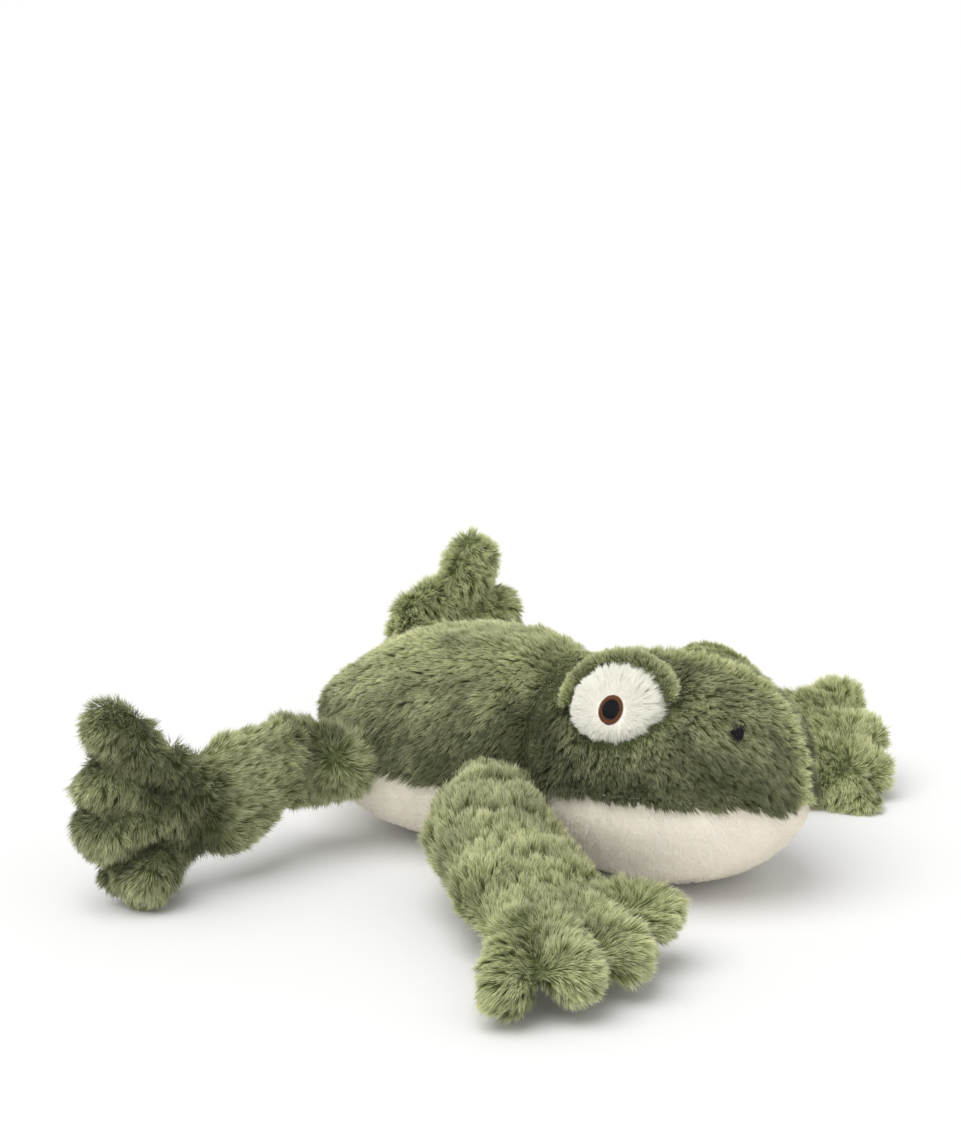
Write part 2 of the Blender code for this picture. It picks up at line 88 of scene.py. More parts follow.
# How far over the seam the green skin stands out most and the cream one sinks most, and how far they do
SEAM_LIFT = 0.003
GREEN_ROLL = 0.0026
CREAM_ROLL = -0.0014

# Each paw's heading and pitch, and the turns of the grooves between its toes, in degrees
PAWS = {
    "right_hand": (60, -9, (-24, -4, 22)),
    "left_hand": (60, -6, (-18, 0, 20)),
    "right_foot": (-24, 0, (-31, -8, 20)),
    "left_foot": (30, 0, (-33, 0, 29)),
}

# How pile lies: its rise, its pull along the flow and to the tufts' middles, its mess and the tufts' size
BODY_LAY = (0.65, 0.95, 0.30, 0.42, 0.0024)
LIMB_LAY = (0.48, 1.0, 0.30, 0.50, 0.0026)
LID_LAY = (0.75, 0.7, 0.25, 0.32, 0.0018)
NAP_LAY = (0.60, 0.9, 0.25, 0.40, 0.0030)
EYE_LAY = (0.50, 1.0, 0.40, 0.28, 0.0022)

# The camera's place and way, its sensor, and its focal length and the picture's height in pixels
CAMERA_PLACE = Vector((-1.0098, -0.6170, 0.4173))
CAMERA_WAY = Vector((0.8239, 0.52, -0.2251))
SENSOR_MM = 36
FOCAL_PIXELS = 2500
PICTURE_PIXELS = 1128


def length_property(name, description, default):
    return FloatProperty(
        name=name, description=description, default=default, min=0, unit="LENGTH", precision=5
    )


def density_property(name, place, default):
    description = f"Strands on a square millimetre of the {place}"
    return FloatProperty(name=name, description=description, default=default, min=0.1)


def strength_property(name, description, default):
    return FloatProperty(name=name, description=description, default=default, min=0)


def colour_property(name, description, default):
    return FloatVectorProperty(
        name=name, description=description, default=default, min=0, max=1, size=3, subtype="COLOR"
    )


class PlushFrogSizes(PropertyGroup):
    """Lengths of the pile and the padding under it."""

    body_pile: length_property("Body pile", "Length of the pile on the torso and head", 0.0068)
    limb_pile: length_property("Limb pile", "Length of the pile on the arms and legs", 0.0082)
    lid_pile: length_property("Lid pile", "Length of the pile on the eyelids", 0.0044)
    eye_pile: length_property("Eye pile", "Length of the white pile round the irises", 0.0072)
    nap: length_property("Nap", "Length of the cream nap on the belly and jaw", 0.0020)
    body_inset: length_property("Body inset", "Depth of the body's backing under its solids", 0.0044)
    limb_inset: length_property("Limb inset", "Depth of the limbs' backing under their solids", 0.0036)
    nap_inset: length_property("Nap inset", "Depth of the cream backing under its solids", 0.0014)
    strand_width: length_property("Strand width", "Width of one strand of the long pile", 0.00034)
    body_seam_height: length_property("Body seam", "Height of the seam between back and belly", 0.041)
    body_density: density_property("Body density", "torso and head", 5.2)
    limb_density: density_property("Limb density", "arms and legs", 4.2)
    nap_density: density_property("Nap density", "belly and jaw", 2.3)
    eye_density: density_property("Eye density", "eyes", 9.0)
    seed: IntProperty(name="Seed", description="Start of the pile's fixed random layout", default=7)


class PlushFrogColours(PropertyGroup):
    """Colours of the cloths and threads."""

    # The dark root colour is partly painted shade deep between the strands; the pale tips are partly the
    # pile's own tint and partly painted light where tips catch the light
    green_root: colour_property("Green root", "The pile's colour near the backing", (0.064, 0.080, 0.034))
    green: colour_property("Green", "The pile's main colour", (0.184, 0.230, 0.098))
    green_tip: colour_property("Green tip", "The pile's sun-bleached tips", (0.600, 0.690, 0.420))
    backing: colour_property("Backing", "The knitted cloth under the green pile", (0.120, 0.145, 0.060))
    cream: colour_property("Cream", "The short nap of the belly and jaw", (0.900, 0.860, 0.780))
    white: colour_property("White", "The pile of the eyes", (0.890, 0.880, 0.815))
    brown: colour_property("Brown thread", "The embroidered irises", (0.118, 0.045, 0.018))
    black: colour_property("Black thread", "The embroidered pupils and nostrils", (0.008, 0.008, 0.010))
    floor: colour_property("Floor", "The studio's floor", (0.810, 0.809, 0.807))


class PlushFrogStage(PropertyGroup):
    """The studio's light."""

    key_strength: strength_property("Key lamp", "Soft light from above", 1.95)
    fill_strength: strength_property("Fill lamp", "Soft light from the front", 0.75)
    sky: strength_property("Sky", "Even light from all round", 0.68)
    key_spread: FloatProperty(
        name="Key spread", description="Width of the light from above", default=radians(56), subtype="ANGLE"
    )


def clamped(value):
    return max(0, min(1, value))


def bell(distance, reach):
    """One at no distance, which falls smoothly to nothing beyond the reach."""
    return exp(-((distance / reach) ** 2))


def passed(place, start, way, reach):
    """How far a place has passed a start along a way, from nothing well before it to one well past it."""
    return clamped((place - start).dot(way) / reach + 0.5)


def node(tree, kind, feeds=None, **settings):
    """Add a node, set it up, and feed its sockets with values or with other nodes' outputs."""
    made = tree.nodes.new(kind)
    for name, value in settings.items():
        setattr(made, name, value)
    for key, value in (feeds or {}).items():
        if isinstance(value, bpy.types.NodeSocket):
            tree.links.new(value, made.inputs[key])
        else:
            made.inputs[key].default_value = value
    return made


def number(tree, operation, *feeds, **settings):
    return node(tree, "ShaderNodeMath", dict(enumerate(feeds)), operation=operation, **settings).outputs[0]


def vector(tree, *numbers):
    return node(tree, "ShaderNodeCombineXYZ", dict(enumerate(numbers))).outputs[0]


def parts(tree, whole):
    return node(tree, "ShaderNodeSeparateXYZ", {0: whole}).outputs


def vector_sum(tree, *terms):
    """The sum of vectors, each a socket or a (socket, scale) pair."""
    kind, total = "ShaderNodeVectorMath", None
    for term in terms:
        socket, scale = term if isinstance(term, tuple) else (term, 1)
        if scale != 1:
            socket = node(tree, kind, {0: socket, "Scale": scale}, operation="SCALE").outputs[0]
        total = socket if total is None else node(tree, kind, {0: total, 1: socket}).outputs[0]
    return total


def noise_over(tree, place, scale, detail=2):
    """The outputs of a noise texture: its value and its colour."""
    return node(tree, "ShaderNodeTexNoise", {"Vector": place, "Scale": scale, "Detail": detail}).outputs


def drawn(tree, low, high, seed, identity=None):
    """A random number between two numbers, or a random vector between two vectors."""
    kind, first, out = ("FLOAT_VECTOR", 0, 0) if isinstance(low, tuple) else ("FLOAT", 2, 1)
    feeds = {first: low, first + 1: high, "Seed": seed}
    if identity is not None:
        feeds["ID"] = identity
    return node(tree, "FunctionNodeRandomValue", feeds, data_type=kind).outputs[out]


def any_way(tree, seed, identity=None):
    return drawn(tree, (-1, -1, -1), (1, 1, 1), seed, identity)


def named(tree, name, kind="FLOAT"):
    return node(tree, "GeometryNodeInputNamedAttribute", {"Name": name}, data_type=kind).outputs[0]


def stored(tree, geometry, name, value, kind, domain):
    feeds = {"Geometry": geometry, "Name": name, "Value": value}
    return node(tree, "GeometryNodeStoreNamedAttribute", feeds, data_type=kind, domain=domain).outputs[0]


def scattered(tree, form, density, seed):
    feeds = {"Mesh": form, "Density": density, "Seed": seed}
    return node(tree, "GeometryNodeDistributePointsOnFaces", feeds).outputs


def strand():
    """The leaf-shaped strand that all the pile is made of, one unit long along Z and one unit wide."""
    if "strand" in bpy.data.objects:
        return bpy.data.objects["strand"]
    form = bmesh.new()
    bmesh.ops.create_grid(form, x_segments=1, y_segments=2, size=1, calc_uvs=False)
    layer = form.loops.layers.uv.new("strand")
    for face in form.faces:
        for corner in face.loops:
            x, y, _ = corner.vert.co
            corner[layer].uv = ((x + 1) / 2, (y + 1) / 2)
    for point in form.verts:
        along = (point.co.y + 1) / 2
        width = 0.5 if 0.01 < along < 0.99 else 0
        point.co = Vector((point.co.x * width, 0, along))
    bmesh.ops.remove_doubles(form, verts=form.verts, dist=1e-4)
    return bpy.data.objects.new("strand", mesh_of(form))


def pile_nodes():
    """Geometry nodes that plant leaf-shaped strands on a form, combed along its flow and drawn into tufts."""
    if "Pile" in bpy.data.node_groups:
        return bpy.data.node_groups["Pile"]
    tree = bpy.data.node_groups.new("Pile", "GeometryNodeTree")
    kinds = {"Form": "Geometry", "Strand": "Object", "Seed": "Int"}
    amounts = ("Density", "Tuft density", "Length", "Width", "Rise", "Comb", "Tufting", "Mess")
    for name, kind in {**kinds, **dict.fromkeys(amounts, "Float")}.items():
        tree.interface.new_socket(name, in_out="INPUT", socket_type="NodeSocket" + kind)
    tree.interface.new_socket("Pile", in_out="OUTPUT", socket_type="NodeSocketGeometry")
    given = node(tree, "NodeGroupInput").outputs
    here = node(tree, "GeometryNodeInputPosition").outputs[0]

    def product(*feeds):
        return number(tree, "MULTIPLY", *feeds)

    # Roots, none where the share is next to nothing, and the middles of the tufts
    share = named(tree, "pile")
    density = product(given["Density"], number(tree, "GREATER_THAN", share, 0.04))
    roots = scattered(tree, given["Form"], density, given["Seed"])
    tuft_seed = number(tree, "ADD", given["Seed"], 1)
    tufts = scattered(tree, given["Form"], given["Tuft density"], tuft_seed)["Points"]
    tuft = node(tree, "GeometryNodeSampleNearest", {"Geometry": tufts}, domain="POINT").outputs[0]
    feeds = {"Geometry": tufts, "Value": here, "Index": tuft}
    centre = node(tree, "GeometryNodeSampleIndex", feeds, data_type="FLOAT_VECTOR", domain="POINT").outputs[0]

    # Each strand's length and the way it points
    length = product(drawn(tree, 0.82, 1.12, 3, tuft), drawn(tree, 0.72, 1.10, 4))
    length = product(product(length, share), given["Length"])
    mess = given["Mess"]
    swirl = vector_sum(tree, noise_over(tree, here, 80)["Color"], (vector(tree, 1, 1, 1), -0.5))
    way = vector_sum(
        tree,
        (roots["Normal"], given["Rise"]),
        (named(tree, "flow", "FLOAT_VECTOR"), given["Comb"]),
        (swirl, product(mess, 2.6)),
        (any_way(tree, 5, tuft), product(mess, 0.55)),
        (any_way(tree, 6), product(mess, 0.30)),
        (vector_sum(tree, centre, (here, -1)), number(tree, "DIVIDE", given["Tufting"], given["Length"])),
    )
    turn = node(tree, "FunctionNodeAlignRotationToVector", {"Vector": way}, axis="Z").outputs[0]
    facing = vector_sum(tree, roots["Normal"], (any_way(tree, 8), 0.55))
    feeds = {"Rotation": turn, "Vector": facing}
    turn = node(tree, "FunctionNodeAlignRotationToVector", feeds, axis="Y", pivot_axis="Z").outputs[0]

    # Each strand's shade: random patches, tufts and single strands, plus the painted light and shade that the
    # form carries
    patch = number(tree, "SUBTRACT", noise_over(tree, here, 60)[0], 0.5)
    shade = number(tree, "MULTIPLY_ADD", patch, 1.35, 0.5)
    shade = number(tree, "ADD", shade, drawn(tree, -0.12, 0.12, 9, tuft))
    shade = number(tree, "ADD", shade, drawn(tree, -0.18, 0.18, 10))
    shade = number(tree, "ADD", shade, named(tree, "pale"), use_clamp=True)

    # The strands in their places, above the floor
    feeds = {
        "Points": stored(tree, roots["Points"], "shade", shade, "FLOAT", "POINT"),
        "Instance": node(tree, "GeometryNodeObjectInfo", {"Object": given["Strand"]}).outputs["Geometry"],
        "Rotation": turn,
        "Scale": vector(tree, given["Width"], length, length),
    }
    pile = node(tree, "GeometryNodeInstanceOnPoints", feeds).outputs[0]
    pile = node(tree, "GeometryNodeRealizeInstances", {"Geometry": pile}).outputs[0]
    x, y, z = parts(tree, here)
    lifted = vector(tree, x, y, number(tree, "MAXIMUM", z, 0.0003))
    pile = node(tree, "GeometryNodeSetPosition", {"Geometry": pile, "Position": lifted}).outputs[0]

    # The chart that the material reads: the shade across it, and from root to tip up it
    across, along, _ = parts(tree, named(tree, "strand", "FLOAT_VECTOR"))
    column = number(tree, "MULTIPLY_ADD", across, 0.10, 0.01)
    column = number(tree, "MULTIPLY_ADD", named(tree, "shade"), 0.88, column)
    chart = vector(tree, column, number(tree, "MULTIPLY_ADD", along, 0.98, 0.01))
    pile = stored(tree, pile, "OFBake", chart, "FLOAT2", "CORNER")
    for name in ("strand", "shade"):
        pile = node(tree, "GeometryNodeRemoveAttribute", {"Geometry": pile, "Name": name}).outputs[0]
    node(tree, "NodeGroupOutput", {0: pile})
    return tree


def placed(name, data):
    """Put a mesh, a lamp or a camera in the scene as an object at the origin."""
    made = bpy.data.objects.new(name, data)
    bpy.context.scene.collection.objects.link(made)
    return made


def add_piece(name, mesh, finish, slot):
    """Put a finished mesh in the scene with one material."""
    mesh.name = name
    mesh.materials.clear()
    mesh.materials.append(finish)
    made = placed(name, mesh)
    return made


def mesh_of(form):
    mesh = bpy.data.meshes.new("form")
    form.to_mesh(mesh)
    form.free()
    return mesh


def worked(mesh, *steps):
    """A mesh after a row of modifiers, each given as its kind and its settings."""
    piece = placed("work", mesh)
    for kind, settings in steps:
        step = piece.modifiers.new(kind, kind)
        for name, value in settings.items():
            if hasattr(step, name):
                setattr(step, name, value)
            else:
                step[name] = value
    bpy.context.view_layer.update()
    view = bpy.context.evaluated_depsgraph_get()
    made = bpy.data.meshes.new_from_object(piece.evaluated_get(view), depsgraph=view)
    bpy.data.objects.remove(piece)
    bpy.data.meshes.remove(mesh)
    return made


def solids(*names):
    """One form that holds copies of these CAD solids."""
    form = bmesh.new()
    for name in names:
        form.from_mesh(frame["nodes"][name].data)
    bmesh.ops.remove_doubles(form, verts=form.verts, dist=1e-6)
    return form


def add_sleeve(form, centre, across, way, radii):
    """Add stuffed cloth over a sewn fold: its half sizes run across, out of and along the limb."""
    out = way.cross(across).normalized()
    turn = Matrix((out.cross(way).normalized(), out, way.normalized())).transposed().to_4x4()
    place = Matrix.Translation(centre) @ turn @ Matrix.Diagonal((*radii, 1))
    bmesh.ops.create_cone(form, cap_ends=True, segments=32, radius1=1, radius2=1, depth=2, matrix=place)


def backing(form, grain, inset, smoothing=8, closing=0.0):
    """The smooth skin inset under the solids in a form, which bridges gaps under twice closing."""
    steps = []
    for rounds, strength in ((2, closing), (2, -closing - inset), (smoothing, 0)):
        steps += [
            ("REMESH", {"mode": "VOXEL", "voxel_size": grain}),
            ("SMOOTH", {"factor": 0.5, "iterations": rounds}),
            ("DISPLACE", {"strength": strength, "mid_level": 0}),
        ]
    made = bmesh.new()
    made.from_mesh(worked(mesh_of(form), *steps))
    return made


def lump(form, depth, size, seed):
    """Push a skin in and out in soft lumps, as loose filling does."""
    form.normal_update()
    shift = Vector((seed, 0, 0))
    moves = [point.normal * depth * noise.noise(point.co / size + shift) for point in form.verts]
    for point, move in zip(form.verts, moves):
        point.co += move
        point.co.z = max(point.co.z, 0.0002)
    form.normal_update()


def roll(form, seam, way, height, reach):
    """Raise a skin along a seam, or sink it where height is negative."""
    for point in form.verts:
        point.co += point.normal * height * bell((point.co - seam).dot(way), reach)
    form.normal_update()


def fray(form, seam, way, reach):
    """Let the edge of a cut skin hang over its seam, further here than there."""
    for point in form.verts:
        near = bell((point.co - seam).dot(way), 0.004)
        point.co -= way * reach * near * (0.6 + 1.8 * noise.noise(point.co / 0.011))
    form.normal_update()


def aim(side, heading, pitch):
    """A way out to one side, turned forwards by its heading and up by its pitch."""
    level = Vector((side * cos(radians(heading)), -sin(radians(heading)), 0))
    return level * cos(radians(pitch)) + UP * sin(radians(pitch))


def nearness(place, lines, reach):
    """How near a place is to the nearest of some lines, from one on it to nothing far away."""
    nearest = 1
    for start, end in lines:
        line = end - start
        share = clamped((place - start).dot(line) / line.length_squared)
        nearest = min(nearest, (place - start - line * share).length)
    return exp(-2 * (nearest / reach) ** 2)


def crease(form, lines, radius, depth):
    """Press grooves into a skin along lines from their starts to their ends."""
    moves = [point.normal * depth * nearness(point.co, lines, radius) for point in form.verts]
    for point, move in zip(form.verts, moves):
        point.co -= move
    form.normal_update()


def fold_lines(fold, flat, out, half, lift):
    """Lines across both faces of a limb, where its cloth bends."""
    rows = (fold - out * lift, fold + out * lift)
    return [(row - flat * half, row + flat * half) for row in rows]


def toe_lines(fold, along, flat, spreads, near, far, lift):
    """Lines inside a paw and on both its faces, which fan out from a fold between its toes."""
    out = along.cross(flat)
    ways = [along * cos(radians(spread)) + flat * sin(radians(spread)) for spread in spreads]
    rows = (out * lift, Vector(), -out * lift)
    return [(fold + way * near + row, fold + way * far + row) for way in ways for row in rows]


def part_of(form, *planes):
    """A copy of a form, cut to what lies ahead of each plane, which is a point and a way."""
    piece = form.copy()
    for point, way in planes:
        every = piece.verts[:] + piece.edges[:] + piece.faces[:]
        bmesh.ops.bisect_plane(piece, geom=every, dist=1e-7, plane_co=point, plane_no=way, clear_inner=True)
    return piece


def closed(form):
    """Close a form where it was cut."""
    edges = [edge for edge in form.edges if edge.is_boundary]
    if edges:
        bmesh.ops.holes_fill(form, edges=edges, sides=0)
    bmesh.ops.triangulate(form, faces=[face for face in form.faces if len(face.verts) > 4])
    bmesh.ops.recalc_face_normals(form, faces=form.faces)
    return form


def comb(form, flow, share=None, pale=None):
    """Store on each point which way its pile lies, its share of the full length and its painted light: how
    much lighter or darker its pile is painted for the light and shade that fall there.
    """
    form.normal_update()
    ways = form.verts.layers.float_vector.new("flow")
    shares = form.verts.layers.float.new("pile")
    painted_lights = form.verts.layers.float.new("pale")
    for point in form.verts:
        way = flow(point.co)
        strength = min(1, way.length)
        way = way - point.normal * way.dot(point.normal)
        point[ways] = way.normalized() * strength if way.length > 1e-9 else Vector()
        point[shares] = share(point.co) if share else 1
        point[painted_lights] = pale(point.co) if pale else 0


def pile(name, form, finish, slot, density, length, width, lay, seed):
    """Plant pile on a combed form, which is used up."""
    rise, lie, tufting, mess, tuft_size = lay
    values = {
        "Strand": strand(),
        "Density": density * PER_SQUARE_MM,
        "Tuft density": 1 / tuft_size**2,
        "Length": length,
        "Width": width,
        "Rise": rise,
        "Comb": lie,
        "Tufting": tufting,
        "Mess": mess,
        "Seed": bpy.context.scene.plush_frog_sizes.seed + 10 * seed,
    }
    group = pile_nodes()
    sockets = [socket for socket in group.interface.items_tree if socket.name in values]
    settings = {"node_group": group, **{socket.identifier: values[socket.name] for socket in sockets}}
    return add_piece(name, worked(mesh_of(form), ("NODES", settings)), finish, slot)


def skin_piece(name, form, finish, slot):
    """Turn a cut form into a closed padded piece."""
    mesh = mesh_of(closed(form))
    mesh.shade_smooth()
    piece = add_piece(name, mesh, finish, slot)
    return piece


def joint(name):
    """The middle and the axis of a joint."""
    found = next(entry for entry in frame["joints"] if entry["name"] == name)
    return Vector(found["pos_m"]), Vector(found["axis"]).normalized()


def middle(name):
    low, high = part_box(name)
    return (low + high) / 2


def facing_of(faces):
    """The way that some faces look on the whole."""
    return sum((face.normal * face.calc_area() for face in faces), Vector()).normalized()


def flat_side(name, towards, least):
    """The plane of a solid's largest flat side among those that look towards a way."""
    form = solids(name)
    form.normal_update()
    faces = [face for face in form.faces if face.normal.dot(towards) > least]
    areas = {}
    for face in faces:
        key = tuple(round(value, 2) for value in face.normal)
        areas[key] = areas.get(key, 0) + face.calc_area()
    way = Vector(max(areas, key=areas.get)).normalized()
    faces = [face for face in faces if face.normal.dot(way) > 0.9995]
    area = sum(face.calc_area() for face in faces)
    point = sum((face.calc_center_median() * face.calc_area() for face in faces), Vector()) / area
    way = facing_of(faces)
    form.free()
    return point, way


def new_material(name, roughness, specular):
    """A material with a lone Principled shader, and its tree and shader."""
    made = bpy.data.materials.new(name)
    made.use_nodes = True
    shader = made.node_tree.nodes["Principled BSDF"]
    shader.inputs["Roughness"].default_value = roughness
    shader.inputs["Specular IOR Level"].default_value = specular
    return made, made.node_tree, shader


def ramp(tree, feed, stops):
    made = node(tree, "ShaderNodeValToRGB", {0: feed})
    points = made.color_ramp.elements
    while len(points) < len(stops):
        points.new(0.5)
    for point, (place, colour) in zip(points, stops):
        point.position = place
        point.color = (*colour, 1)
    return made.outputs[0]


def tinted(colour, factor, warmth=0.0):
    """A colour made lighter or darker, and warmer or cooler."""
    red, green, blue = colour
    tinted_parts = (red * factor * (1 + warmth), green * factor, blue * factor * (1 - warmth))
    return tuple(min(1, value) for value in tinted_parts)


def pile_material(name, tones, spread, through, warmth=0.0):
    """Strands with tones from root to tip, darker at the root partly as painted shade deep in the pile, some
    lighter than others, which let some light through.
    """
    if name in bpy.data.materials:
        return bpy.data.materials[name]
    made, tree, shader = new_material(name, 0.62, 0.18)
    shader.inputs["Sheen Weight"].default_value = 0.12
    shader.inputs["Sheen Roughness"].default_value = 0.45
    shade, along, _ = parts(tree, node(tree, "ShaderNodeUVMap", uv_map="OFBake").outputs[0])
    ends = []
    # The darker and lighter ends carry random tones and also the painted light and shade of each strand's
    # form
    for factor in (1 - spread, 1 + spread):
        stops = [(place, tinted(tone, factor, warmth)) for place, tone in zip((0.06, 0.48, 0.94), tones)]
        ends.append(ramp(tree, along, stops))
    mixed = node(tree, "ShaderNodeMix", {0: shade, 6: ends[0], 7: ends[1]}, data_type="RGBA").outputs[2]
    tree.links.new(mixed, shader.inputs["Base Color"])
    glow = node(tree, "ShaderNodeBsdfTranslucent", {"Color": mixed}).outputs[0]
    both = node(tree, "ShaderNodeMixShader", {0: through, 1: shader.outputs[0], 2: glow}).outputs[0]
    tree.links.new(both, tree.nodes["Material Output"].inputs["Surface"])
    return made


def knit(tree, place):
    """Backing cloth: fine rows of loops over soft patches of wear."""
    patches = noise_over(tree, place, 90, 3)[0]
    feeds = {"Vector": place, "Scale": 420, "Distortion": 1.5, "Detail": 1}
    loops = node(tree, "ShaderNodeTexWave", feeds, bands_direction="Z").outputs[1]
    return number(tree, "MULTIPLY_ADD", loops, 0.3, number(tree, "MULTIPLY", patches, 0.7)), loops, (0.2, 0.8)


def twist(tree, place):
    """Embroidery thread: fine twisted fibres."""
    fibres = noise_over(tree, place, 2600)[0]
    return fibres, fibres, (0.3, 0.7)


def cloth_material(name, colour, contrast, pattern, relief, roughness, specular):
    """Cloth or thread in darker and lighter tones of its colour, with a fine relief."""
    if name in bpy.data.materials:
        return bpy.data.materials[name]
    made, tree, shader = new_material(name, roughness, specular)
    tone, height, places = pattern(tree, node(tree, "ShaderNodeTexCoord").outputs["Object"])
    ends = (tinted(colour, 1 - contrast), tinted(colour, 1 + contrast))
    tree.links.new(ramp(tree, tone, list(zip(places, ends))), shader.inputs["Base Color"])
    strength, depth = relief
    bump = node(tree, "ShaderNodeBump", {"Strength": strength, "Distance": depth, "Height": height})
    tree.links.new(bump.outputs[0], shader.inputs["Normal"])
    return made


def backing_material(name, colour, contrast):
    return cloth_material(name, colour, contrast, knit, (0.4, 0.0002), 0.95, 0.1)


def thread_material(name, colour):
    return cloth_material(name, colour, 0.35, twist, (0.3, 0.0001), 0.62, 0.12)


def long_pile(name, form, length, density, seed, lay=BODY_LAY):
    """Green pile, some of it pale and some dark and warm, by random tone and by the light and shade painted
    on the form.
    """
    scene = bpy.context.scene
    colours, width = scene.plush_frog_colours, scene.plush_frog_sizes.strand_width
    tones = (colours.green_root, colours.green, colours.green_tip)
    # The wide spread between dark and pale copies leaves room for the painted light and shade as well as the
    # random tones
    finish = pile_material("Green pile", tones, 0.68, 0.30, 0.09)
    return pile(name, form, finish, "green_plush", density, length, width, lay, seed)


def green_skin(name, form):
    finish = backing_material("Green backing", bpy.context.scene.plush_frog_colours.backing, 0.28)
    return skin_piece(name, form, finish, "green_plush")


def bending_skin(name, form, length, density, seed, lay, nodes):
    """Make long pile and the green skin under it in place of some solids."""
    fur = long_pile(name + "_pile", form.copy(), length, density, seed, lay)
    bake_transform(fur)
    skin = green_skin(name, form)
    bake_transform(skin)
    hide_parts(*nodes)


def riding(body, fur, skin, node_name):
    """Let pile and the skin under it ride on a body in place of a solid."""
    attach(fur, body)
    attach(skin, body)
    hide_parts(node_name)


def cream_panel(name, panels, seam, way, height, flow, seed):
    """A cream panel, cut at a height over its seam: its short nap and the padded skin under it."""
    sizes, cream = bpy.context.scene.plush_frog_sizes, bpy.context.scene.plush_frog_colours.cream
    whole = backing(solids(*panels), BODY_GRAIN, sizes.nap_inset)
    roll(whole, seam + way * SEAM_LIFT, way, CREAM_ROLL, 0.006)
    form = part_of(whole, (seam + way * height, -way))
    whole.free()
    comb(form, flow, lambda place: 1 if place.z > 0.003 else 0)
    finish = pile_material("Cream nap", (tinted(cream, 0.90, 0.02), cream, tinted(cream, 1.08)), 0.05, 0.45)
    width = sizes.strand_width * 0.9
    nap = pile(
        name + "_nap", form.copy(), finish, "cream_plush", sizes.nap_density, sizes.nap, width, NAP_LAY, seed
    )
    return nap, skin_piece(name, form, backing_material("Cream backing", cream, 0.05), "cream_plush")


class PlushFrogTorso(Operator):
    """Make the padded torso with its long-pile back and short-nap belly"""

    bl_idname = "plush_frog.torso"
    bl_label = "Torso"

    def execute(self, context):
        sizes = context.scene.plush_frog_sizes
        seam = Vector((0, 0, sizes.body_seam_height))
        neck = joint("neck_nod")[0]
        panels = ("back_panel", "belly_panel")
        green_cut, cream_cut = TORSO_CUTS

        def lie(place):
            return BACKWARD * 0.6 - UP * 0.8 + Vector((place.x - neck.x, 0, 0)) * 6

        # Painted light and shade: the pile lighter on top and towards the rump, where light falls, and
        # painted shade in the fold at the neck and on the lower sides
        def pale(place):
            lit_rump = clamped((place.y - 0.030) / 0.050)
            fold = bell(place.y - neck.y - 0.004, 0.008) * clamped((0.088 - place.z) / 0.020)
            return 0.30 + 0.25 * lit_rump - 0.40 * fold - 0.82 * clamped((0.098 - place.z) / 0.040)

        form = solids(*panels)
        add_sleeve(form, neck + BACKWARD * 0.012, LEFTWARD, BACKWARD, (0.050, 0.048, 0.014))
        green = backing(form, BODY_GRAIN, sizes.body_inset, 8, 0.004)
        lump(green, 0.0028, 0.018, 3)
        roll(green, seam + UP * SEAM_LIFT, UP, GREEN_ROLL, 0.007)
        upper = part_of(green, (seam + UP * green_cut, UP))
        green.free()
        fray(upper, seam + UP * green_cut, UP, 0.0020)
        comb(upper, lie, lambda place: 1 + 0.4 * bell(place.z - seam.z, 0.006), pale)
        for count, (side, name) in enumerate(SIDES):
            half = part_of(upper, (neck, LEFTWARD * side))
            fur = long_pile(f"back_pile_{name}", half, sizes.body_pile, sizes.body_density, count + 1)
            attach(fur, "torso")
        back = green_skin("back", upper)
        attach(back, "torso")
        seams = (f"{name}_{fold}_seam" for _, name in SIDES for fold in ("hip", "shoulder"))
        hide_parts("back_panel", "torso_filling", *seams)

        def cream_lie(place):
            return BACKWARD + (place - neck) * 2

        riding("torso", *cream_panel("belly", panels, seam, UP, cream_cut, cream_lie, 3), "belly_panel")
        return {"FINISHED"}


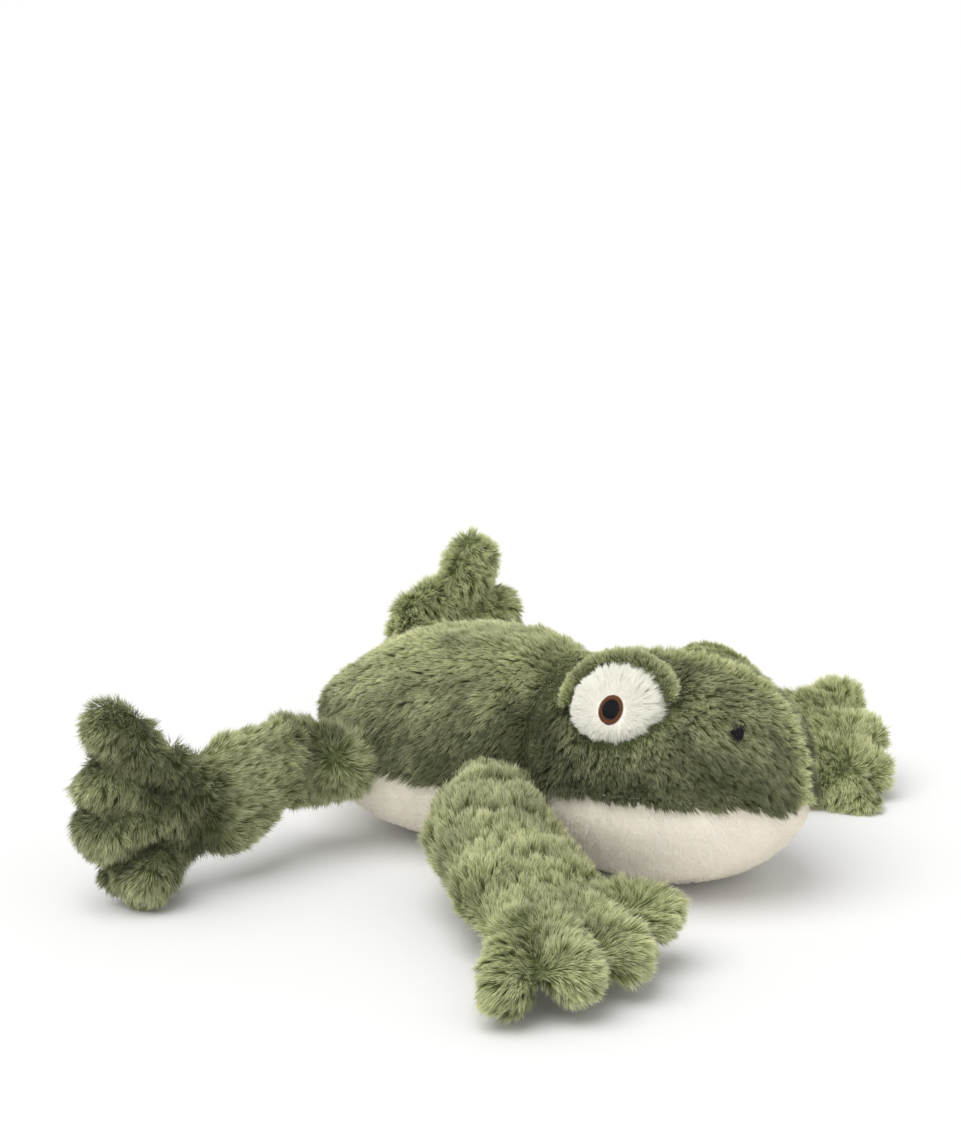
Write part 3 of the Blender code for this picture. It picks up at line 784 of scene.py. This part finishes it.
class PlushFrogHead(Operator):
    """Make the two green panels of the head and the cream jaw"""

    bl_idname = "plush_frog.head"
    bl_label = "Head"

    def execute(self, context):
        sizes = context.scene.plush_frog_sizes
        neck, across = joint("neck_nod")
        seam, seam_way = flat_side("jaw_panel", UP, 0.8)
        crown, crown_way = flat_side("right_head_panel", LEFTWARD, 0.95)
        panels = ("right_head_panel", "left_head_panel", "jaw_panel")
        green_cut, cream_cut = HEAD_CUTS
        edge = seam + seam_way * green_cut
        rims = [eye_rim(name) for _, name in SIDES]
        dots = [middle(name + "_nostril") for _, name in SIDES]

        def lie(place):
            beside = (crown - place).dot(crown_way)
            return (-BACKWARD * 0.55 - UP * 0.75 + crown_way * beside * 5) * (1 - 0.8 * bell(beside, 0.006))

        def share(place):
            behind = clamped((neck.y - 0.004 - place.y) / 0.012)
            fringe = 0.1 * bell((place - seam).dot(seam_way), 0.006)
            beside = min((place - dot).length for dot in dots) / 0.0055
            return min(0.4 + (0.6 + fringe) * behind, 0.20 + beside**3, *(rim(place) for rim in rims))

        # Painted light and shade: a painted light rim along the crown's seam ridge, and painted shade in the
        # fold at the neck and on the lower cheeks
        def pale(place):
            lit_ridge = bell((crown - place).dot(crown_way), 0.006)
            fold = bell(place.y - neck.y + 0.010, 0.007) * clamped((0.095 - place.z) / 0.020)
            return 0.75 * lit_ridge - 0.40 * fold - 0.54 * (1 - lit_ridge) * clamped((0.088 - place.z) / 0.030)

        form = solids(*panels)
        add_sleeve(form, neck, across, BACKWARD, (0.048, 0.050, 0.015))
        green = backing(form, BODY_GRAIN, sizes.body_inset, 6, 0.006)
        lump(green, 0.0012, 0.022, 5)
        for point in green.verts:
            point.co += point.normal * 0.0010 * bell((point.co - crown).dot(crown_way), 0.0035)
        roll(green, seam + seam_way * SEAM_LIFT, seam_way, GREEN_ROLL, 0.007)
        upper = part_of(green, (edge, seam_way))
        green.free()
        fray(upper, edge, seam_way, 0.0013)
        comb(upper, lie, share, pale)
        for count, (side, name) in enumerate(SIDES):
            panel = part_of(upper, (crown, crown_way * side))
            nodes = (name + "_head_panel", "head_filling", "neck_seam")
            bending_skin(
                name + "_head", panel, sizes.body_pile, sizes.body_density, count + 4, BODY_LAY, nodes
            )
        upper.free()

        def cream_lie(place):
            return -BACKWARD * 0.4 - UP * 0.5

        nap, jaw = cream_panel("jaw", panels, seam, seam_way, cream_cut, cream_lie, 6)
        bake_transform(nap)
        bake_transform(jaw)
        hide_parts("jaw_panel")
        return {"FINISHED"}


def eye_frame(name):
    """The middle of an iris, the way that it faces, the way back along the head and the way up."""
    form = solids(name + "_iris")
    centre = sum((point.co for point in form.verts), Vector()) / len(form.verts)
    form.free()
    form = solids(name + "_eye_white")
    form.normal_update()
    core = middle("head_filling")
    near = [face for face in form.faces if (face.calc_center_median() - centre).length < 0.014]
    facing = facing_of(face for face in near if face.normal.dot(centre - core) > 0)
    form.free()
    back = (BACKWARD - facing * facing.y).normalized()
    up = facing.cross(back)
    return centre, facing, back, up if up.z > 0 else -up


def eye_rim(name):
    """The green pile's share of its length round an eye: none under the pad, little under the lid."""
    _, facing, back, up = eye_frame(name)
    centre = middle(name + "_eye_white")

    def share(place):
        away = place - centre
        if abs(away.dot(facing)) > 0.03:
            return 1
        along, rise = away.dot(back) / 0.0232, away.dot(up) / 0.0212
        far = (along * along + rise * rise) ** 0.5
        return clamped((far - 0.88) / (0.45 if rise > -0.3 else 0.12))

    return share


def drape(form, surface, centre, facing):
    """Lay stitches, made in a plane, on a curved surface."""
    for point in form.verts:
        flat = point.co - facing * (point.co - centre).dot(facing)
        found = surface.ray_cast(flat + facing * 0.02, -facing)[0]
        if found:
            point.co += found - flat


def stitch(form, place, axes, size, rings):
    """Add one satin stitch: a drop of thread that lies along the first of three axes."""
    place = Matrix.Translation(place) @ Matrix(axes).transposed().to_4x4()
    place = place @ Matrix.Diagonal((*size, 1)) @ Matrix.Rotation(pi / 2, 4, "Y")
    bmesh.ops.create_uvsphere(form, u_segments=8, v_segments=rings, radius=1, matrix=place)


def satin_oval(form, centre, along, across, out, half_sizes, thread, raggedness=0.0):
    """Add satin stitches side by side, which fill an oval, some longer than others."""
    half_length, half_width = half_sizes
    count = max(3, round(2 * half_width / thread))
    for step in range(count):
        share = (2 * step + 1) / count - 1
        reach = half_length * (1 - share * share) ** 0.5 * (1 + raggedness * sin(step * 2.4)) + thread * 0.4
        place = centre + across * half_width * share + out * thread * (0.6 - 0.5 * share * share)
        stitch(form, place, (along, across, out), (reach, thread * 0.62, thread * 0.9), 8)


def sewn(name, form, tone):
    """Turn stitches into a piece of black or brown thread in place of a solid on the head."""
    colour = getattr(bpy.context.scene.plush_frog_colours, tone)
    finish = thread_material(tone.capitalize() + " thread", colour)
    piece = add_piece(name + "_stitches", mesh_of(form), finish, tone + "_thread")
    piece.data.shade_smooth()
    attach(piece, "head")
    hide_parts(name)


def eye_pad(context, name, count):
    """The pad with its white pile, shortest round the iris, and its surface for the stitches."""
    sizes, white = context.scene.plush_frog_sizes, context.scene.plush_frog_colours.white
    iris, facing, back, up = eye_frame(name)
    centre = middle(name + "_eye_white")
    form = solids(name + "_eye_white")
    seat = solids(name + "_eye_white")
    seat.transform(Matrix.Translation(-facing * 0.0035))
    mesh = mesh_of(seat)
    form.from_mesh(mesh)
    bpy.data.meshes.remove(mesh)
    form = backing(form, EYE_GRAIN, 0.0006, 5)
    for point in form.verts:
        away = point.co - centre
        point.co -= (away - facing * away.dot(facing)) * 0.13
    form.normal_update()
    surface = BVHTree.FromBMesh(form)

    def share(place):
        away = (place - iris) - facing * (place - iris).dot(facing)
        rim = clamped((away.length - 0.0060) / 0.010)
        upper = clamped(0.5 + (away.dot(up) - away.dot(back)) / 0.03)
        return 0 if away.length < 0.0064 else 0.30 + rim * (0.35 + 0.45 * upper)

    comb(form, lambda place: (place - iris) * 100, share)
    tones = (tinted(white, 0.86, 0.02), white, tinted(white, 1.08))
    finish = pile_material("White pile", tones, 0.05, 0.35)
    fur = pile(
        name + "_eye_pile", form.copy(), finish, "white_plush", sizes.eye_density, sizes.eye_pile,
        sizes.strand_width * 0.7, EYE_LAY, 8 + count,
    )
    finish = backing_material("White backing", white, 0.04)
    pad = skin_piece(name + "_eye", form, finish, "white_plush")
    riding("head", fur, pad, name + "_eye_white")
    return surface


def eye_stitches(name, surface):
    """The pupil's satin oval and the ring of stitches round it."""
    centre, facing, back, up = eye_frame(name)
    pupil = bmesh.new()
    place = centre - back * 0.0004 + up * 0.0003
    satin_oval(pupil, place, up, back, facing, (0.0055, 0.0049), IRIS_THREAD)
    ring = bmesh.new()
    for step in range(RING_STITCHES):
        turn = 2 * pi * step / RING_STITCHES
        out = back * cos(turn) * 0.88 + up * sin(turn) * 1.04
        way = out.normalized()
        place = centre + out * 0.0057 + facing * IRIS_THREAD * 0.3
        size = (0.0014, IRIS_THREAD * 0.75, IRIS_THREAD * 0.9)
        stitch(ring, place, (way, facing.cross(way), facing), size, 6)
    for form, part, tone in ((pupil, "_pupil", "black"), (ring, "_iris", "brown")):
        drape(form, surface, centre, facing)
        sewn(name + part, form, tone)


def eye_lid(context, name, side, count):
    """The rolled lid: the near one is fuller, and the far one's pile is painted paler, as light on its rim.
    """
    sizes = context.scene.plush_frog_sizes
    iris = eye_frame(name)[0]
    inset, lid_painted_light = (0.0002, 0.25) if side < 0 else (0.0012, 0.9)
    form = backing(solids(name + "_eyelid"), EYE_GRAIN, inset, 4)
    comb(form, lambda place: (place - iris) * 30, None, lambda place: lid_painted_light)
    density = sizes.body_density * 1.5
    fur = long_pile(name + "_eyelid_pile", form.copy(), sizes.lid_pile, density, 10 + count, LID_LAY)
    riding("head", fur, green_skin(name + "_lid", form), name + "_eyelid")


class PlushFrogEyes(Operator):
    """Make the white padded eyes, their embroidered irises and pupils, and the rolled lids"""

    bl_idname = "plush_frog.eyes"
    bl_label = "Eyes"

    def execute(self, context):
        for count, (side, name) in enumerate(SIDES):
            eye_stitches(name, eye_pad(context, name, count))
            eye_lid(context, name, side, count)
        return {"FINISHED"}


class PlushFrogNostrils(Operator):
    """Make the two small ovals of black satin stitches on the snout"""

    bl_idname = "plush_frog.nostrils"
    bl_label = "Nostrils"

    def execute(self, context):
        for _, name in SIDES:
            centre = middle(name + "_nostril")
            facing = (centre - middle("head_filling")).normalized()
            along = (BACKWARD - facing * facing.y).normalized()
            across = facing.cross(along)
            low = across * (-1 if across.z > 0 else 1)
            sunk = centre - facing * 0.0012
            form = bmesh.new()
            for place, half_sizes in (
                (sunk, (0.0042, 0.0022)),
                (centre + along * 0.0026 + low * 0.0012 - facing * 0.0012, (0.0019, 0.0016)),
            ):
                satin_oval(form, place, across, along, facing, half_sizes, NOSTRIL_THREAD, 0.35)
            sewn(name + "_nostril", form, "black")
        return {"FINISHED"}


def dress(context, sections, seed, step):
    """Give each section of both limbs its pile and its padded skin."""
    sizes = context.scene.plush_frog_sizes
    for turn, (side, name) in enumerate(SIDES):
        inner, first_seed = "torso", seed + step * turn
        for count, (form, part, (body, fold, way), seams) in enumerate(sections(sizes, side, name)):
            nodes = [name + ending for ending in (body + "_cover", body + "_filling", *seams)]
            length, density = sizes.limb_pile, sizes.limb_density
            bending_skin(name + part, form, length, density, first_seed + count, LIMB_LAY, nodes)
            inner = name + body


def arm_sections(sizes, side, name):
    """An arm's skin, cut between shoulder and wrist, with each part's bend and seams."""
    shoulder, shoulder_across = joint(name + "_shoulder_lift")
    wrist, wrist_across = joint(name + "_wrist_bend")
    arm, hand = middle(name + "_upper_arm_cover"), middle(name + "_hand_cover")
    arm_way, hand_way = (wrist - shoulder).normalized(), (hand - wrist).normalized()
    root_way = (arm - shoulder).normalized()
    form = solids(name + "_upper_arm_cover", name + "_hand_cover")
    add_sleeve(form, wrist, wrist_across, arm_way + hand_way, (0.034, 0.021, 0.013))
    add_sleeve(form, shoulder, shoulder_across, root_way, (0.020, 0.016, 0.011))
    biceps = shoulder.lerp(wrist, 0.30) - UP * 0.001
    add_sleeve(form, biceps, arm_way.cross(UP), arm_way, (0.023, 0.0165, 0.012))
    skin = backing(form, LIMB_GRAIN, sizes.limb_inset, 4, 0.0065)
    lump(skin, 0.0030, 0.015, 11 + side)

    heading, pitch, spreads = PAWS[name + "_hand"]
    along = aim(side, heading, pitch)
    flat = wrist_across if wrist_across.dot(UP.cross(along)) > 0 else -wrist_across
    grooves = toe_lines(wrist, along, flat, spreads, 0.030, 0.100, 0.014)
    folds = fold_lines(wrist + along * 0.006, flat, along.cross(flat), 0.024, 0.018)
    for share_along in (0.40, 0.70):
        fold = shoulder.lerp(wrist, share_along)
        folds += fold_lines(fold, arm_way.cross(UP).normalized(), UP, 0.024, 0.022)
    crease(skin, grooves, 0.0050, 0.0058)
    crease(skin, folds, 0.0060, 0.0028)
    apart = (flat * cos(radians(spreads[0])) - along * sin(radians(spreads[0]))).normalized()

    def lie(place):
        ahead = passed(place, wrist, arm_way, 0.02)
        fan = (place - wrist + arm_way * 0.02).normalized()
        toes = clamped(((place - wrist).length - 0.042) / 0.020)
        parted = max(-0.75, min(0.75, (place - wrist).dot(apart) / 0.005))
        hand_lie = (flat * parted - UP * 0.4) * toes + (UP * 0.4 - fan * 0.5) * (1 - toes)
        return (UP * 0.40 - arm_way * 0.65) * (1 - ahead) + hand_lie * ahead

    def share(place):
        past_shoulder = clamped((place - shoulder).dot(arm_way) / 0.03)
        return (0.65 + 0.35 * past_shoulder) * (1 - 0.75 * nearness(place, grooves, 0.0065))

    # Painted light and shade: the far arm painted lighter than the near one, the hand a little lighter, and
    # painted shade in the toe grooves and the folds
    def pale(place):
        crease_shade = 1.2 * nearness(place, grooves, 0.0060) + 0.35 * nearness(place, folds, 0.006)
        return (0.24 if side < 0 else 0.74) + 0.12 * passed(place, wrist, arm_way, 0.03) - crease_shade

    comb(skin, lie, share, pale)
    half = (shoulder + wrist) / 2
    cut = [part_of(skin, (half, way)) for way in (-arm_way, arm_way)]
    skin.free()
    bends = (("_upper_arm", shoulder, root_way), ("_hand", wrist, arm_way + hand_way))
    return zip(cut, ("_arm", "_hand"), bends, ((), ("_wrist_seam",)))


class PlushFrogArms(Operator):
    """Make both arms as padded skins with long pile"""

    bl_idname = "plush_frog.arms"
    bl_label = "Arms"

    def execute(self, context):
        dress(context, arm_sections, 20, 4)
        return {"FINISHED"}


def leg_sections(sizes, side, name):
    """A leg's skin, cut in the middle of thigh and shin, with each part's bend and seams."""
    hip, hip_across = joint(name + "_hip_lift")
    knee, knee_across = joint(name + "_knee_bend")
    ankle, ankle_across = joint(name + "_ankle_bend")
    thigh_way, shin_way = (knee - hip).normalized(), (ankle - knee).normalized()
    foot_way = (middle(name + "_foot_cover") - ankle).normalized()
    form = solids(*(name + part for part in ("_thigh_cover", "_shin_cover", "_foot_cover")))
    add_sleeve(form, hip, hip_across, thigh_way, (0.020, 0.018, 0.011))
    add_sleeve(form, knee, knee_across, thigh_way + shin_way, (0.023, 0.015, 0.010))
    around = (0.022, 0.0125, 0.012) if side < 0 else (0.033, 0.0135, 0.017)
    add_sleeve(form, ankle + foot_way * 0.005, ankle_across, shin_way + foot_way, around)
    skin = backing(form, LIMB_GRAIN, sizes.limb_inset, 4, 0.005)
    lump(skin, 0.0026, 0.017, 21 + side)

    heading, pitch, spreads = PAWS[name + "_foot"]
    along = aim(side, heading, pitch)
    grooves = toe_lines(ankle, along, -UP, spreads, 0.024, 0.085, 0.012)
    folds = fold_lines(ankle + along * 0.004, UP, along.cross(UP), 0.026, 0.012)
    folds += fold_lines(knee, UP, shin_way.cross(UP).normalized(), 0.020, 0.015)
    crease(skin, grooves, 0.0055, 0.0044)
    crease(skin, folds, 0.0060, 0.0036)
    thigh_half, shin_half = (hip + knee) / 2, (knee + ankle) / 2
    whorl = thigh_half + (thigh_way.cross(UP) * side).normalized() * 0.022 + UP * 0.004

    def passings(place):
        return passed(place, knee, shin_way, 0.016), passed(place, ankle, shin_way, 0.02)

    def lie(place):
        past_knee, past_ankle = passings(place)
        radial = (place - whorl).normalized()
        fan = (place - ankle + shin_way * 0.02).normalized()
        shin_lie = shin_way * 0.8 * past_knee * (1 - past_ankle)
        return radial * 0.6 * (1 - past_knee) - shin_lie + (fan * 0.4 - UP * 0.6) * past_ankle

    # Painted light and shade: the far leg painted much lighter than the near one, the shin lighter and the
    # foot darker again, and painted shade in the toe grooves and ankle folds
    def pale(place):
        past_knee, past_ankle = passings(place)
        crease_shade = 1.0 * nearness(place, grooves, 0.0060) + 0.50 * nearness(place, folds[:2], 0.018)
        return (-0.02 if side < 0 else 1.0) + 0.20 * past_knee - 0.20 * past_ankle - crease_shade

    comb(skin, lie, lambda place: 1 - 0.75 * nearness(place, grooves, 0.0065), pale)
    cut = (
        part_of(skin, (thigh_half, -thigh_way)),
        part_of(skin, (thigh_half, thigh_way), (shin_half, -shin_way)),
        part_of(skin, (shin_half, shin_way)),
    )
    skin.free()
    titles = ("_thigh", "_shin", "_foot")
    bends = zip(titles, (hip, knee, ankle), (thigh_way, thigh_way + shin_way, shin_way + foot_way))
    return zip(cut, titles, bends, ((), ("_knee_seam",), ("_ankle_seam",)))


class PlushFrogLegs(Operator):
    """Make both legs as padded skins with long pile"""

    bl_idname = "plush_frog.legs"
    bl_label = "Legs"

    def execute(self, context):
        dress(context, leg_sections, 30, 6)
        return {"FINISHED"}


def add_floor(colour):
    form = bmesh.new()
    bmesh.ops.create_grid(form, x_segments=1, y_segments=1, size=4)
    mesh = mesh_of(form)
    made, tree, shader = new_material("Floor", 0.9, 0.1)
    grain = noise_over(tree, node(tree, "ShaderNodeTexCoord").outputs["Object"], 8)[0]
    tone = ramp(tree, grain, ((0.3, tinted(colour, 0.995)), (0.7, tinted(colour, 1.005))))
    tree.links.new(tone, shader.inputs["Base Color"])
    mesh.materials.append(made)
    placed("floor", mesh)


def light_world(scene, stage):
    """Even light on the toy, and plain white where the camera or a reflection sees past it."""
    scene.world = bpy.data.worlds.new("Studio")
    scene.world.use_nodes = True
    tree = scene.world.node_tree
    path = node(tree, "ShaderNodeLightPath").outputs
    seen = number(tree, "MAXIMUM", path["Is Camera Ray"], path["Is Glossy Ray"])
    seen = number(tree, "MAXIMUM", seen, path["Is Transmission Ray"])
    strength = node(tree, "ShaderNodeMix", {0: seen, 2: stage.sky, 3: 1.0}, data_type="FLOAT").outputs[0]
    sky = tree.nodes["Background"]
    sky.inputs["Color"].default_value = (1, 1, 1, 1)
    tree.links.new(strength, sky.inputs["Strength"])


def add_lamp(name, strength, spread, way):
    light = bpy.data.lights.new(name, "SUN")
    light.energy, light.angle = strength, spread
    lamp = placed(name, light)
    lamp.location = (0, 0, 1)
    lamp.rotation_euler = way.to_track_quat("-Z", "Y").to_euler()


def add_camera(scene):
    camera = placed("Camera", bpy.data.cameras.new("Camera"))
    camera.location = CAMERA_PLACE
    camera.rotation_euler = CAMERA_WAY.to_track_quat("-Z", "Y").to_euler()
    camera.data.sensor_width = SENSOR_MM
    camera.data.lens = SENSOR_MM * FOCAL_PIXELS / PICTURE_PIXELS
    scene.camera = camera


class PlushFrogStudio(Operator):
    """Make the floor, the lamps, the white backdrop and the camera"""

    bl_idname = "plush_frog.studio"
    bl_label = "Studio"

    def execute(self, context):
        scene, stage = context.scene, context.scene.plush_frog_stage
        add_floor(scene.plush_frog_colours.floor)
        light_world(scene, stage)
        add_lamp("Key", stage.key_strength, stage.key_spread, Vector((0.40, -0.16, -1)))
        add_lamp("Fill", stage.fill_strength, stage.key_spread * 0.6, Vector((0.80, 0.50, -0.12)))
        add_camera(scene)
        scene.view_settings.view_transform = "Standard"
        return {"FINISHED"}


class PlushFrogPanel(Panel):
    """The steps that dress the frog, in order, and the sizes and colours that they use"""

    bl_idname = "VIEW3D_PT_plush_frog"
    bl_label = "Plush Frog"
    bl_space_type = "VIEW_3D"
    bl_region_type = "UI"
    bl_category = "Plush Frog"

    def draw(self, context):
        for step in STEPS:
            self.layout.operator(step.bl_idname)
        for group in GROUPS:
            box = self.layout.box()
            values = getattr(context.scene, group)
            for name in type(values).__annotations__:
                box.prop(values, name)


STEPS = (
    PlushFrogTorso,
    PlushFrogHead,
    PlushFrogEyes,
    PlushFrogNostrils,
    PlushFrogArms,
    PlushFrogLegs,
    PlushFrogStudio,
)
GROUPS = {
    "plush_frog_sizes": PlushFrogSizes,
    "plush_frog_colours": PlushFrogColours,
    "plush_frog_stage": PlushFrogStage,
}


def register():
    for kind in (*GROUPS.values(), *STEPS, PlushFrogPanel):
        bpy.utils.register_class(kind)
    for name, kind in GROUPS.items():
        setattr(bpy.types.Scene, name, bpy.props.PointerProperty(type=kind))


def unregister():
    for name in GROUPS:
        delattr(bpy.types.Scene, name)
    for kind in (PlushFrogPanel, *reversed(STEPS), *GROUPS.values()):
        bpy.utils.unregister_class(kind)


def main():
    register()
    for step in STEPS:
        group, name = step.bl_idname.split(".")
        getattr(getattr(bpy.ops, group), name)()


if __name__ == "__main__":
    main()
